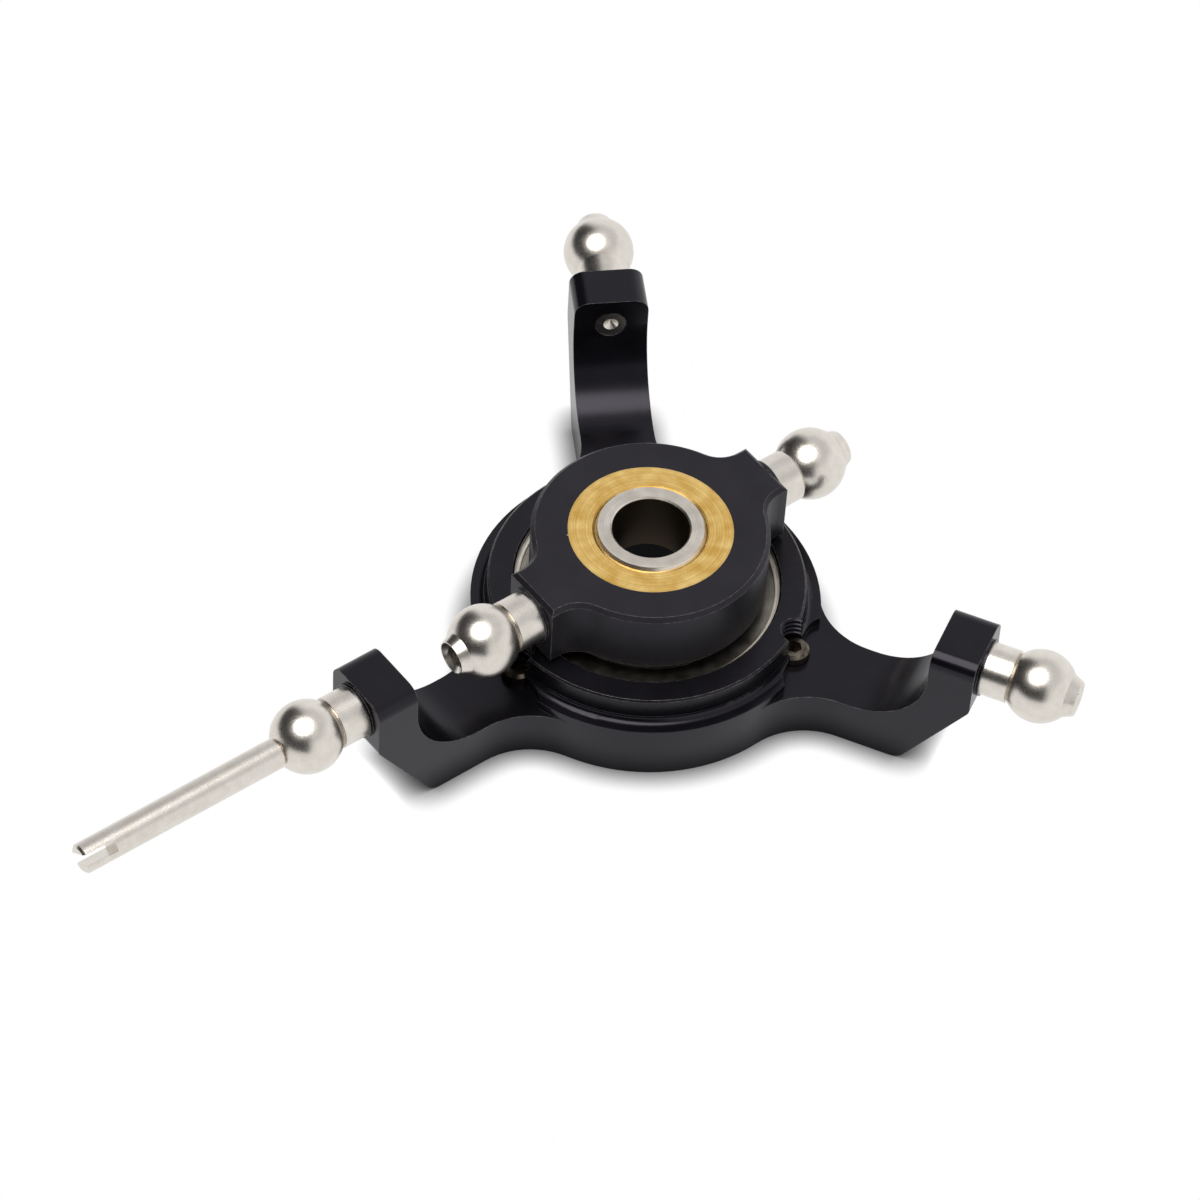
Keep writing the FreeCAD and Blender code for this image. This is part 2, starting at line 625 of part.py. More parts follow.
def make_retaining_ring():
    body = new_body("retaining_ring")
    inner = "(bearing_bore / 2 - clip_groove)"
    outer = "(bearing_bore / 2 - clip_groove + clip_width)"
    eye_side = "(clip_opening / 2 + clip_ear)"
    eye_orbit = "(" + LEDGE_RADIUS + " - clip_ear_gap - clip_ear)"
    eye_reach = "-sqrt(%s ^ 2 - %s ^ 2)" % (eye_orbit, eye_side)
    band = sketch_on(body, "clip_band", "XY_Plane", CLIP_FLOOR)
    draw_circle(band, outer)
    extrude(body, "Pad", band, "clip_sheet")
    for side in (1, -1):
        ear = sketch_on(body, "clip_ear_plan", "XY_Plane", CLIP_FLOOR)
        draw_circle(ear, "clip_ear", eye_reach, "%d * %s" % (side, eye_side))
        extrude(body, "Pad", ear, "clip_sheet")
    cuts = sketch_on(body, "clip_inside", "XY_Plane", CLIP_FLOOR)
    draw_circle(cuts, inner)
    extrude(body, "Pocket", cuts, "clip_sheet", backwards=True)
    gap = sketch_on(body, "clip_gap", "XY_Plane", CLIP_FLOOR)
    draw_box(gap, "-bearing_bore", "0", "-clip_opening / 2", "clip_opening / 2")
    extrude(body, "Pocket", gap, "clip_sheet", backwards=True)
    for side in (1, -1):
        eye = sketch_on(body, "clip_eye_plan", "XY_Plane", CLIP_FLOOR)
        draw_circle(eye, "clip_eye / 2", eye_reach, "%d * %s" % (side, eye_side))
        extrude(body, "Pocket", eye, "clip_sheet", backwards=True)
    return body


# ---- Race rings and uniball ----

def make_race_ring(label, top):
    """Brass ring with a spherical seat about the origin, its wide mouth at its far end."""
    ring = doc.addObject("Part::Cylinder", label + "_blank")
    ring.setExpression("Radius", spell(RACE_OUTSIDE))
    ring.setExpression("Height", spell("race_height"))
    ring.setExpression("Placement.Base.z", spell("0" if top else "-race_height"))
    seat = doc.addObject("Part::Sphere", label + "_seat")
    seat.setExpression("Radius", spell(SEAT_RADIUS))
    mouth_radius = "sqrt(%s ^ 2 - race_height ^ 2)" % SEAT_RADIUS
    mouth = doc.addObject("Part::Cone", label + "_mouth")
    narrow, wide = ("Radius1", "Radius2") if top else ("Radius2", "Radius1")
    mouth.setExpression(narrow, spell(mouth_radius + " - race_mouth_chamfer"))
    mouth.setExpression(wide, spell(mouth_radius + " + race_mouth_chamfer"))
    mouth.setExpression("Height", spell("2 * race_mouth_chamfer"))
    low = "race_height - 2 * race_mouth_chamfer" if top else "-race_height"
    mouth.setExpression("Placement.Base.z", spell(low))
    hollow = doc.addObject("Part::Fuse", label + "_hollow")
    hollow.Base = seat
    hollow.Tool = mouth
    race = doc.addObject("Part::Cut", label)
    race.Base = ring
    race.Tool = hollow
    return race


def make_uniball():
    globe = doc.addObject("Part::Sphere", "uniball_globe")
    globe.setExpression("Radius", spell("uniball_diameter / 2"))
    slab = doc.addObject("Part::Cylinder", "uniball_slab")
    slab.setExpression("Radius", spell("uniball_diameter"))
    slab.setExpression("Height", spell("uniball_height"))
    slab.setExpression("Placement.Base.z", spell("-uniball_height / 2"))
    blank = doc.addObject("Part::Common", "uniball_blank")
    blank.Base = globe
    blank.Tool = slab
    tools = []
    bore = doc.addObject("Part::Cylinder", "uniball_bore")
    bore.setExpression("Radius", spell("mast_diameter / 2 + mast_gap"))
    bore.setExpression("Height", spell("uniball_height"))
    bore.setExpression("Placement.Base.z", spell("-uniball_height / 2"))
    tools.append(bore)
    for side in (1, -1):
        cone = doc.addObject("Part::Cone", "uniball_mouth")
        narrow, wide = ("Radius1", "Radius2") if side > 0 else ("Radius2", "Radius1")
        cone.setExpression(narrow, spell("mast_diameter / 2 + mast_gap - uniball_chamfer"))
        cone.setExpression(wide, spell("mast_diameter / 2 + mast_gap + uniball_chamfer"))
        cone.setExpression("Height", spell("2 * uniball_chamfer"))
        low = "%d * (uniball_height / 2 - uniball_chamfer) - uniball_chamfer" % side
        cone.setExpression("Placement.Base.z", spell(low))
        tools.append(cone)
    hollow = doc.addObject("Part::MultiFuse", "uniball_hollow")
    hollow.Shapes = tools
    ball = doc.addObject("Part::Cut", "uniball")
    ball.Base = blank
    ball.Tool = hollow
    return ball


# ---- Ball studs ----

def add_solid(body, kind, name, sizes, height="0"):
    """Add or take away a primitive on the body's own Z axis."""
    solid = body.newObject("PartDesign::" + kind, name)
    for key, formula in sizes.items():
        setattr(solid, key, number(formula))
        solid.setExpression(key, spell(formula))
    solid.Placement.Base.z = number(height)
    solid.setExpression("Placement.Base.z", spell(height))
    doc.recompute()
    return solid


def add_socket(body, name, flats, depth, face):
    """Hexagon socket sunk from a face at a height on the body's Z axis."""
    socket = add_solid(
        body,
        "SubtractivePrism",
        name,
        {"Circumradius": flats + " / sqrt(3)", "Height": depth},
        face + " - " + depth,
    )
    socket.Polygon = 6
    doc.recompute()


def make_ball_stud(label, seat, angle, roll=0):
    """Turned stud along its own Z: shank below the seat at Z = 0, collar and ball above it."""
    body = new_body(label)
    shank = sketch_on(body, "stud_section", "XZ_Plane")
    neck = "(stud_reach - sqrt((link_ball / 2) ^ 2 - (stud_collar / 2) ^ 2) - stud_neck_width)"
    neck_radius = "(stud_collar / 2 - stud_neck_depth)"
    draw_outline(shank, [
        ("0", "-stud_shank"),
        ("stud_thread / 2", "-stud_shank"),
        ("stud_thread / 2", "0"),
        ("stud_collar / 2", "0"),
        ("stud_collar / 2", neck),
        (neck_radius, neck),
        (neck_radius, "stud_reach"),
        ("0", "stud_reach"),
    ])
    turn(body, "Revolution", shank)
    add_solid(body, "AdditiveSphere", "stud_ball", {"Radius": "link_ball / 2"}, "stud_reach")
    add_solid(
        body,
        "SubtractiveCone",
        "centre_drill",
        {"Radius1": "shank_centre_drill / 2", "Radius2": "0", "Height": "shank_centre_drill / 2"},
        "-stud_shank",
    )
    set_round(body, angle, seat, LINK_PLANE, outward=True, roll=roll)
    return body


def make_link_stud(label, seat, angle):
    """Ball stud that ends in a flat nose with a hexagon socket."""
    body = make_ball_stud(label, seat, angle)
    nose = "(stud_reach + nose_reach)"
    add_solid(
        body,
        "AdditiveCone",
        "stud_nose",
        {"Radius1": "nose_diameter / 2 + nose_taper", "Radius2": "nose_diameter / 2", "Height": "nose_reach"},
        "stud_reach",
    )
    add_socket(body, "stud_socket", "socket_flats", "socket_depth", nose)
    add_solid(
        body,
        "SubtractiveCone",
        "socket_countersink",
        {"Radius1": "0", "Radius2": "socket_mouth / 2", "Height": "socket_mouth / 2"},
        nose + " - socket_mouth / 2",
    )
    return body


def make_anti_rotation_stud():
    """Ball stud with the long pin that runs in the frame's guide."""
    body = make_ball_stud("anti_rotation_stud", EAR_SEAT, TAIL, number("pin_slot_turn"))
    tip = "(stud_reach + pin_reach)"
    root = "(stud_reach + sqrt((link_ball / 2) ^ 2 - (pin_diameter / 2) ^ 2))"
    pin = sketch_on(body, "pin_section", "XZ_Plane")
    draw_outline(pin, [
        ("0", "stud_reach"),
        ("pin_diameter / 2 - pin_groove_depth", "stud_reach"),
        ("pin_diameter / 2 - pin_groove_depth", root + " + pin_groove_width"),
        ("pin_diameter / 2", root + " + pin_groove_width"),
        ("pin_diameter / 2", tip + " - pin_tip_chamfer"),
        ("pin_diameter / 2 - pin_tip_chamfer", tip),
        ("0", tip),
    ])
    turn(body, "Revolution", pin)
    slot = sketch_on(body, "pin_slot", "XZ_Plane")
    draw_box(slot, "-pin_slot_width / 2", "pin_slot_width / 2", tip + " - pin_slot_depth", tip)
    extrude(body, "Pocket", slot, "pin_diameter", both_ways=True)
    return body


# ---- Lock screws at the seam of cap and plate ----

def make_lock_screw(label, angle):
    body = new_body(label)
    sizes = {"Radius": "lock_thread / 2", "Height": "lock_length"}
    blank = add_solid(body, "AdditiveCylinder", "lock_body", sizes)
    ends = pick_edges(blank, lambda edge: near(edge.Length, "pi * lock_thread"))
    dress(body, "Chamfer", blank, ends, "lock_chamfer")
    add_socket(body, "lock_hexagon", "lock_socket", "lock_socket_depth", "lock_length")
    set_round(body, angle, SEAM, LOCK_BOTTOM)
    return body


sub_parts = [
    make_outer_plate(),
    make_bearing_cap(),
    make_bearing_outer_race(),
    make_bearing_inner_race(),
    make_shield("bearing_shield_lower", "(plate_floor + shield_inset)"),
    make_shield("bearing_shield_upper", "(plate_floor + bearing_width - shield_inset - shield_sheet)"),
    make_bearing_cage(),
    make_bearing_balls(),
    make_rotating_hub(),
    make_retaining_ring(),
    make_race_ring("race_ring_lower", top=False),
    make_race_ring("race_ring_upper", top=True),
    make_uniball(),
    make_link_stud("outer_ball_stud_right", EAR_SEAT, RIGHT),
    make_link_stud("outer_ball_stud_left", EAR_SEAT, LEFT),
    make_anti_rotation_stud(),
    make_link_stud("inner_ball_stud_tail", LUG_SEAT, TAIL),
    make_link_stud("inner_ball_stud_nose", LUG_SEAT, NOSE),
    make_lock_screw("lock_screw_tail", TAIL),
    make_lock_screw("lock_screw_right", RIGHT),
    make_lock_screw("lock_screw_left", LEFT),
]
doc.recompute()

for thing in doc.Objects:
    if "Invalid" in thing.State or "Error" in thing.State:
        raise RuntimeError("%s failed: %s" % (thing.Name, thing.State))
for sub_part in sub_parts:
    if sub_part.Shape.isNull() or not sub_part.Shape.isValid():
        raise RuntimeError("%s has no valid shape" % sub_part.Label)

os.makedirs("parts", exist_ok=True)
for sub_part in sub_parts:
    sub_part.Shape.exportStep("parts/%s.step" % sub_part.Label)
    print("%s: %d solid, %.3f mm3" % (sub_part.Label, len(sub_part.Shape.Solids), sub_part.Shape.Volume))
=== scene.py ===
import json
import math

import bpy
from mathutils import Euler, Matrix, Vector


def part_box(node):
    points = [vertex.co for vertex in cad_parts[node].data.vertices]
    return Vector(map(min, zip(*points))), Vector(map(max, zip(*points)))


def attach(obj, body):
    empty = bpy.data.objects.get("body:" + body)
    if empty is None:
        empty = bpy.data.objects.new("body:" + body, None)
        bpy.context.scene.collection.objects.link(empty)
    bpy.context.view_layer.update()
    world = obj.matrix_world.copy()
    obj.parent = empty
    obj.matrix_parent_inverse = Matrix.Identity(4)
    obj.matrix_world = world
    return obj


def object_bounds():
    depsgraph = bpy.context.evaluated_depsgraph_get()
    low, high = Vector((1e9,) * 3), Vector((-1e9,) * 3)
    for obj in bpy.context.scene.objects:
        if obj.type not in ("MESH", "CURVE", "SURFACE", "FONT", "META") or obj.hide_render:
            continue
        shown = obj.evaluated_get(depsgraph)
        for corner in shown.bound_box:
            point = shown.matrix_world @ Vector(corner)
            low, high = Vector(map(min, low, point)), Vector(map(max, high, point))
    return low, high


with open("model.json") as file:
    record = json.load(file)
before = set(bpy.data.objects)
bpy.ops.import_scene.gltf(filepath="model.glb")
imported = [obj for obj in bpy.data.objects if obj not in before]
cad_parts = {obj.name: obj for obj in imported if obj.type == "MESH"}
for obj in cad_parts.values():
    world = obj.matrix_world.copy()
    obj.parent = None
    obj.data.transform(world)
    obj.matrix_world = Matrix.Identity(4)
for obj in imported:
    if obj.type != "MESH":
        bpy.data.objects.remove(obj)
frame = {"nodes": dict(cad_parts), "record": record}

# Looks of a model helicopter's swashplate: black anodised plate and hub, brass race rings,
# a steel uniball and satin nickel ball studs. Lengths are in metres, and MM turns millimetres
# into them. The origin is the centre of the uniball, +Z points up the mast, and +X runs along
# the arm that carries the anti-rotation pin.

MM = 0.001
ARM_ANGLES = {"tail": 0, "right": 120, "left": 240}
cad_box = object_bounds()
nodes = frame["nodes"]


# ---- Camera ----

VIEW_AZIMUTH = math.radians(50.263)
VIEW_ELEVATION = math.radians(49.299)
VIEW_ROLL = math.radians(3.625)
VIEW_DISTANCE = 351.74 * MM
VIEW_CENTRE = Vector((5.14 * MM, 1.53 * MM, 0))
# The lens and the sensor are given in plain millimetres.
LENS = 164.76
SENSOR = 36.0
NEAR_LIMIT = 1 * MM
FAR_LIMIT = 10.0


def direction(azimuth, elevation):
    """Unit vector towards an azimuth and elevation in radians."""
    level = math.cos(elevation)
    return Vector((level * math.cos(azimuth), level * math.sin(azimuth), math.sin(elevation)))


def add_camera():
    """Long lens, looking down on the part from between its right arm and its tail arm."""
    camera = bpy.data.objects.new("camera", bpy.data.cameras.new("camera"))
    bpy.context.scene.collection.objects.link(camera)
    camera.data.lens = LENS
    camera.data.sensor_width = SENSOR
    camera.data.clip_start = NEAR_LIMIT
    camera.data.clip_end = FAR_LIMIT
    back = direction(VIEW_AZIMUTH, VIEW_ELEVATION)
    camera.location = VIEW_CENTRE + back * VIEW_DISTANCE
    facing = back.to_track_quat("Z", "Y").to_matrix().to_4x4()
    roll = Euler((0, 0, VIEW_ROLL)).to_matrix().to_4x4()
    camera.rotation_euler = (facing @ roll).to_euler()
    bpy.context.scene.camera = camera


add_camera()


# ---- Colours and nodes ----

MATH = "ShaderNodeMath"
VECTOR = "ShaderNodeVectorMath"
NOISE = "ShaderNodeTexNoise"
RAMP = "ShaderNodeValToRGB"
MIX = "ShaderNodeMix"
RANGE = "ShaderNodeMapRange"
BUMP = "ShaderNodeBump"
SHINE = "ShaderNodeBsdfPrincipled"
COLOURS = {"data_type": "RGBA"}
MIXED = 2


def linear(code):
    """Linear RGBA of an sRGB hex colour, by the standard curve."""
    channels = []
    for start in (1, 3, 5):
        value = int(code[start:start + 2], 16) / 255
        if value <= 0.04045:
            channels.append(value / 12.92)
        else:
            channels.append(((value + 0.055) / 1.055) ** 2.4)
    return (*channels, 1.0)


def add_node(tree, kind, settings=None, output=0, stops=(), **inputs):
    """Add a node with its settings, its colour stops if it is a ramp, and its inputs, each set
    or linked by its name or number, and return one of its outputs."""
    node = tree.nodes.new(kind)
    for name, value in (settings or {}).items():
        setattr(node, name, value)
    for index, (position, code) in enumerate(stops):
        stop = node.color_ramp.elements[index]
        stop.position = position
        stop.color = linear(code)
    for name, value in inputs.items():
        key = int(name[1:]) if name[1:].isdigit() else name.replace("_", " ")
        if isinstance(value, bpy.types.NodeSocket):
            tree.links.new(value, node.inputs[key])
        else:
            node.inputs[key].default_value = value
    return node.outputs[output] if node.outputs else node


def blank_material(name):
    """New material and the tree of its nodes, with the old ones cleared."""
    material = bpy.data.materials.new(name)
    material.use_nodes = True
    material.node_tree.nodes.clear()
    return material, material.node_tree


# An edge is fully sharp where rounding it turns the normal by this cosine. Wear is full above the
# upper level of a cloudy pattern. Below the lower level, a faint light line is left along every
# sharp edge as a painted highlight of the edge break.
SHARP_TURN = 0.93
WEAR_STARTS = 0.45
WEAR_FULL = 0.62
PAINTED_EDGE_HIGHLIGHT = 0.3
EDGE_SAMPLES = 6


def edge_wear_and_painted_highlight(tree, place, width, patch):
    """Mask of the sharp outer edges, full in wear patches and a faint painted highlight line
    elsewhere, and the rounded normal there.
    """
    soft = add_node(tree, "ShaderNodeBevel", {"samples": EDGE_SAMPLES}, Radius=width)
    flat = add_node(tree, "ShaderNodeNewGeometry", output="Normal")
    match = add_node(tree, VECTOR, {"operation": "DOT_PRODUCT"}, "Value", _0=soft, _1=flat)
    edge = add_node(tree, RANGE, Value=match, From_Min=1.0, From_Max=SHARP_TURN)
    patches = add_node(tree, NOISE, Vector=place, Scale=1 / patch, Detail=4.0)
    wear_and_painted_highlight = add_node(
        tree, RANGE, Value=patches,
        From_Min=WEAR_STARTS, From_Max=WEAR_FULL, To_Min=PAINTED_EDGE_HIGHLIGHT,
    )
    return add_node(tree, MATH, {"operation": "MULTIPLY"}, _0=edge, _1=wear_and_painted_highlight), soft


# Share of the cells that hold a speck.
DUSTY_SHARE = 0.16


def dust(tree, place, spacing, size):
    """Mask of round specks of dust, each in a cell of its own. The spacing of the cells and the
    size of a speck are in metres."""
    cell = add_node(tree, "ShaderNodeTexVoronoi", Vector=place, Scale=1 / spacing)
    colour = [s for s in cell.node.outputs if s.name == "Color"][0]
    inside = add_node(tree, MATH, {"operation": "LESS_THAN"}, _0=cell, _1=size / spacing)
    pick = add_node(tree, "ShaderNodeSeparateColor", Color=colour)
    rare = add_node(tree, MATH, {"operation": "LESS_THAN"}, _0=pick, _1=DUSTY_SHARE)
    return add_node(tree, MATH, {"operation": "MULTIPLY"}, _0=inside, _1=rare)


def lathe_rings(tree, distance, spacing):
    """Uneven rings of a lathe tool, told by distance alone, with an average spacing in metres.

    The rings of a finishing cut are really finer, and are drawn coarse enough to show."""
    line = add_node(tree, "ShaderNodeCombineXYZ", X=distance)
    return add_node(tree, NOISE, Vector=line, Scale=1 / spacing, Detail=3.0, Roughness=0.7)


def distance_from_mast(tree, place):
    """Distance of a place from the mast's axis, in metres."""
    flat = add_node(tree, VECTOR, {"operation": "MULTIPLY"}, _0=place, _1=(1, 1, 0))
    return add_node(tree, VECTOR, {"operation": "LENGTH"}, "Value", _0=flat)


# ---- Anodised aluminium ----

# The blasted grain is really finer than this, and is drawn coarse enough to show.
BLAST_GRAIN = 0.10 * MM
GRAIN_ROUGHNESS = 0.14
DYE_CLOUD = 2.4 * MM
EDGE_BREAK = 0.06 * MM
WEAR_PATCH = 0.35 * MM
# Strength of both the edge wear and the painted edge highlight.
WEAR_AND_HIGHLIGHT_STRENGTH = 0.5
PLAIN_EDGES_FADE = 0.5 * MM
DUST_SPACING = 1.5 * MM
DUST_SPECK = 0.05 * MM
DUST_STRENGTH = 0.5
DARK_DYE = "#08070a"
LIGHT_DYE = "#0f0e12"
# Colour of the metal showing at edge wear, and of the painted highlight line along every sharp
# edge.
BARE_METAL_AND_EDGE_HIGHLIGHT = "#a6a29c"
PALE_DUST = "#c9c4b8"
OXIDE_IOR = 1.38
OXIDE_TINT = "#efe9fb"


def black_anodised(name, dark, light, rough, grain_depth, edges_plain_within=0.0):
    """Anodised aluminium, milled or turned and then blasted.

    A dyed oxide skin: nearly black with a faint violet cast, a soft sheen and a fine matt grain.
    Bare metal shows in wear patches along the sharp edges, and a faint painted highlight line
    runs along all of them. Nearer to the mast than the plain-edge distance, the edges have
    neither."""
    material, tree = blank_material(name)
    place = add_node(tree, "ShaderNodeTexCoord", output="Object")
    cloud = add_node(tree, NOISE, Vector=place, Scale=1 / DYE_CLOUD, Detail=3.0)
    grain = add_node(tree, NOISE, Vector=place, Scale=1 / BLAST_GRAIN, Detail=2.0)
    dyed = add_node(tree, RAMP, stops=((0.3, dark), (0.7, light)), Fac=cloud)
    # Edge wear in patches, and a painted highlight line along every sharp edge.
    wear_and_painted_highlight, rounded = edge_wear_and_painted_highlight(tree, place, EDGE_BREAK, WEAR_PATCH)
    wear_and_highlight_amount = add_node(
        tree, RANGE, Value=distance_from_mast(tree, place),
        From_Min=edges_plain_within, From_Max=edges_plain_within + PLAIN_EDGES_FADE, To_Max=WEAR_AND_HIGHLIGHT_STRENGTH,
    )
    bare_metal_and_painted_highlight = add_node(tree, MATH, {"operation": "MULTIPLY"}, _0=wear_and_painted_highlight, _1=wear_and_highlight_amount)
    edged = add_node(tree, MIX, COLOURS, MIXED, _0=bare_metal_and_painted_highlight, _6=dyed, _7=linear(BARE_METAL_AND_EDGE_HIGHLIGHT))
    speck = dust(tree, place, DUST_SPACING, DUST_SPECK)
    thin = add_node(tree, MATH, {"operation": "MULTIPLY"}, _0=speck, _1=DUST_STRENGTH)
    colour = add_node(tree, MIX, COLOURS, MIXED, _0=thin, _6=edged, _7=linear(PALE_DUST))
    matt = add_node(tree, RANGE, Value=grain, To_Min=rough, To_Max=rough + GRAIN_ROUGHNESS)
    fine = add_node(tree, BUMP, Height=grain, Distance=grain_depth, Normal=rounded)
    shader = add_node(
        tree, SHINE, Base_Color=colour, Roughness=matt, Normal=fine, IOR=OXIDE_IOR,
        Specular_Tint=linear(OXIDE_TINT),
    )
    add_node(tree, "ShaderNodeOutputMaterial", Surface=shader)
    return material


# Beside the cap, out to this distance from the mast, the plate's edges have neither edge wear nor
# the painted edge highlight.
PLATE_EDGES_PLAIN_WITHIN = 11.4 * MM

milled_black = black_anodised(
    "black_anodised_milled_aluminium", dark=DARK_DYE, light=LIGHT_DYE,
    rough=0.15, grain_depth=0.0015 * MM, edges_plain_within=PLATE_EDGES_PLAIN_WITHIN,
)
cap_black = black_anodised(
    "black_anodised_smooth_turned_aluminium", dark=DARK_DYE, light=LIGHT_DYE,
    rough=0.22, grain_depth=0.002 * MM,
)
turned_black = black_anodised(
    "black_anodised_turned_aluminium", dark="#121115", light="#1a191d",
    rough=0.36, grain_depth=0.005 * MM,
)


# ---- Nickel-plated steel ----

STUD_RINGS = 0.09 * MM
STUD_RING_DEPTH = 0.005 * MM
STUD_RING_STRENGTH = 0.35
STUD_CLOUD = 0.7 * MM
TUMBLED_GRAIN = 0.09 * MM
TUMBLED_DEPTH = 0.0012 * MM
NICKEL_DARK = "#e0dad1"
NICKEL_LIGHT = "#ede8e1"
NICKEL_DULL = "#a1998e"


def satin_nickel(name, angle):
    """Nickel-plated steel stud at an angle round the mast, turned on a lathe and tumbled.

    Warm grey satin metal with fine rings round the stud and a few darker patches."""
    material, tree = blank_material(name)
    place = add_node(tree, "ShaderNodeTexCoord", output="Object")
    turned = add_node(tree, "ShaderNodeMapping", Vector=place, Rotation=(0, 0, -angle))
    along = add_node(tree, "ShaderNodeSeparateXYZ", Vector=turned)
    rings = lathe_rings(tree, along, STUD_RINGS)
    cloud = add_node(tree, NOISE, Vector=turned, Scale=1 / STUD_CLOUD, Detail=5.0)
    grain = add_node(tree, NOISE, Vector=turned, Scale=1 / TUMBLED_GRAIN, Detail=2.0)
    tone = add_node(tree, RAMP, stops=((0.3, NICKEL_DARK), (0.7, NICKEL_LIGHT)), Fac=cloud)
    dull = add_node(tree, MATH, {"operation": "MULTIPLY"}, _0=rings, _1=STUD_RING_STRENGTH)
    colour = add_node(tree, MIX, COLOURS, MIXED, _0=dull, _6=tone, _7=linear(NICKEL_DULL))
    rough = add_node(tree, RANGE, Value=grain, To_Min=0.23, To_Max=0.35)
    ringed = add_node(tree, BUMP, Height=rings, Distance=STUD_RING_DEPTH)
    fine = add_node(tree, BUMP, Height=grain, Distance=TUMBLED_DEPTH, Normal=ringed)
    shader = add_node(tree, SHINE, Base_Color=colour, Roughness=rough, Normal=fine, Metallic=1.0)
    add_node(tree, "ShaderNodeOutputMaterial", Surface=shader)
    return material


nickel = {
    side: satin_nickel("satin_nickel_turned_" + side, math.radians(angle))
    for side, angle in ARM_ANGLES.items()
}


# ---- Brass and steel faced on a lathe ----

METAL_CLOUD = 1.1 * MM
CLOUD_ROUGHNESS = 0.16
OIL_STARTS = 0.45
OIL_FULL = 0.75
OIL_STRENGTH = 0.7
# Brown painted shade inside a bore.
PAINTED_BORE_SHADE = "#7a6b5a"


def turned_metal(name, light, dark, stain, spacing, ring_depth, rough, bore=0.0):
    """Bare metal faced or ground on a lathe: concentric rings that catch the light, slightly
    cloudy, with darker rings where oil has dried in the grooves, and a painted brown shade all
    round its bore."""
    material, tree = blank_material(name)
    place = add_node(tree, "ShaderNodeTexCoord", output="Object")
    distance = distance_from_mast(tree, place)
    rings = lathe_rings(tree, distance, spacing)
    cloud = add_node(tree, NOISE, Vector=place, Scale=1 / METAL_CLOUD, Detail=5.0)
    tone = add_node(tree, RAMP, stops=((0.35, dark), (0.65, light)), Fac=cloud)
    oily = add_node(
        tree, RANGE, Value=rings, From_Min=OIL_STARTS, From_Max=OIL_FULL, To_Max=OIL_STRENGTH
    )
    faced = add_node(tree, MIX, COLOURS, MIXED, _0=oily, _6=tone, _7=linear(stain))
    # Painted shade inside the bore.
    inside = add_node(tree, MATH, {"operation": "LESS_THAN"}, _0=distance, _1=bore)
    colour = add_node(tree, MIX, COLOURS, MIXED, _0=inside, _6=faced, _7=linear(PAINTED_BORE_SHADE))
    satin = add_node(tree, RANGE, Value=cloud, To_Min=rough, To_Max=rough + CLOUD_ROUGHNESS)
    fine = add_node(tree, BUMP, Height=rings, Distance=ring_depth)
    shader = add_node(tree, SHINE, Base_Color=colour, Roughness=satin, Normal=fine, Metallic=1.0)
    add_node(tree, "ShaderNodeOutputMaterial", Surface=shader)
    return material


# The painted shade reaches this far past the wall of the mast bore.
BORE_SHADE_MARGIN = 0.02 * MM
mast_bore = next(mount for mount in frame["record"]["mounts"] if mount["name"] == "mast_bore")
bore_radius = mast_bore["dims"]["r_mm"] * MM

# Faced brass: warm yellow, duller and browner in its grooves.
race_brass = turned_metal(
    "faced_brass", light="#ffdd8e", dark="#e9bb62", stain="#a87a38",
    spacing=0.14 * MM, ring_depth=0.009 * MM, rough=0.28,
)
# Ground bearing steel: pale, with strong fine rings.
bearing_steel = turned_metal(
    "ground_bearing_steel", light="#fbf5ea", dark="#ebe3d5", stain="#968a79",
    spacing=0.16 * MM, ring_depth=0.04 * MM, rough=0.42,
)
# Polished steel: smooth and bright on its face, with a painted brown shade inside the bore.
uniball_steel = turned_metal(
    "polished_uniball_steel", light="#eae4db", dark="#d6cfc4", stain="#a89e92",
    spacing=0.10 * MM, ring_depth=0.003 * MM, rough=0.24, bore=bore_radius + BORE_SHADE_MARGIN,
)
# Rolled sheet: darker and smoother.
shield_steel = turned_metal(
    "rolled_shield_steel", light="#a09a90", dark="#857f76", stain="#4a443c",
    spacing=0.12 * MM, ring_depth=0.004 * MM, rough=0.22,
)
# Phosphated spring steel: dark grey and dull.
spring_steel = turned_metal(
    "phosphated_spring_steel", light="#4d4b4c", dark="#3b393a", stain="#262425",
    spacing=0.15 * MM, ring_depth=0.004 * MM, rough=0.40,
)
# Screws: brown with old oil, and darker still as painted shade, since they sit in the shade of
# the hub and cap.
screw_steel_with_painted_shade = turned_metal(
    "oily_screw_steel_with_painted_shade", light="#8a8074", dark="#4b4339", stain="#1d1915",
    spacing=0.16 * MM, ring_depth=0.012 * MM, rough=0.22,
)


# ---- Nylon ----

MOULDED_MOTTLE = 0.5 * MM
MOTTLE_DEPTH = 0.01 * MM
NYLON_IOR = 1.53


def moulded_nylon(name):
    """Glass-filled nylon of the ball cage: cream, matt, with a faint moulded mottle."""
    material, tree = blank_material(name)
    place = add_node(tree, "ShaderNodeTexCoord", output="Object")
    mottle = add_node(tree, NOISE, Vector=place, Scale=1 / MOULDED_MOTTLE, Detail=3.0)
    colour = add_node(tree, RAMP, stops=((0.3, "#b9ab8c"), (0.7, "#cfc3a6")), Fac=mottle)
    rough = add_node(tree, RANGE, Value=mottle, To_Min=0.4, To_Max=0.6)
    fine = add_node(tree, BUMP, Height=mottle, Distance=MOTTLE_DEPTH)
    shader = add_node(
        tree, SHINE, Base_Color=colour, Roughness=rough, Normal=fine, IOR=NYLON_IOR
    )
    add_node(tree, "ShaderNodeOutputMaterial", Surface=shader)
    return material


cage_nylon = moulded_nylon("moulded_nylon")


# ---- Finish of each piece ----

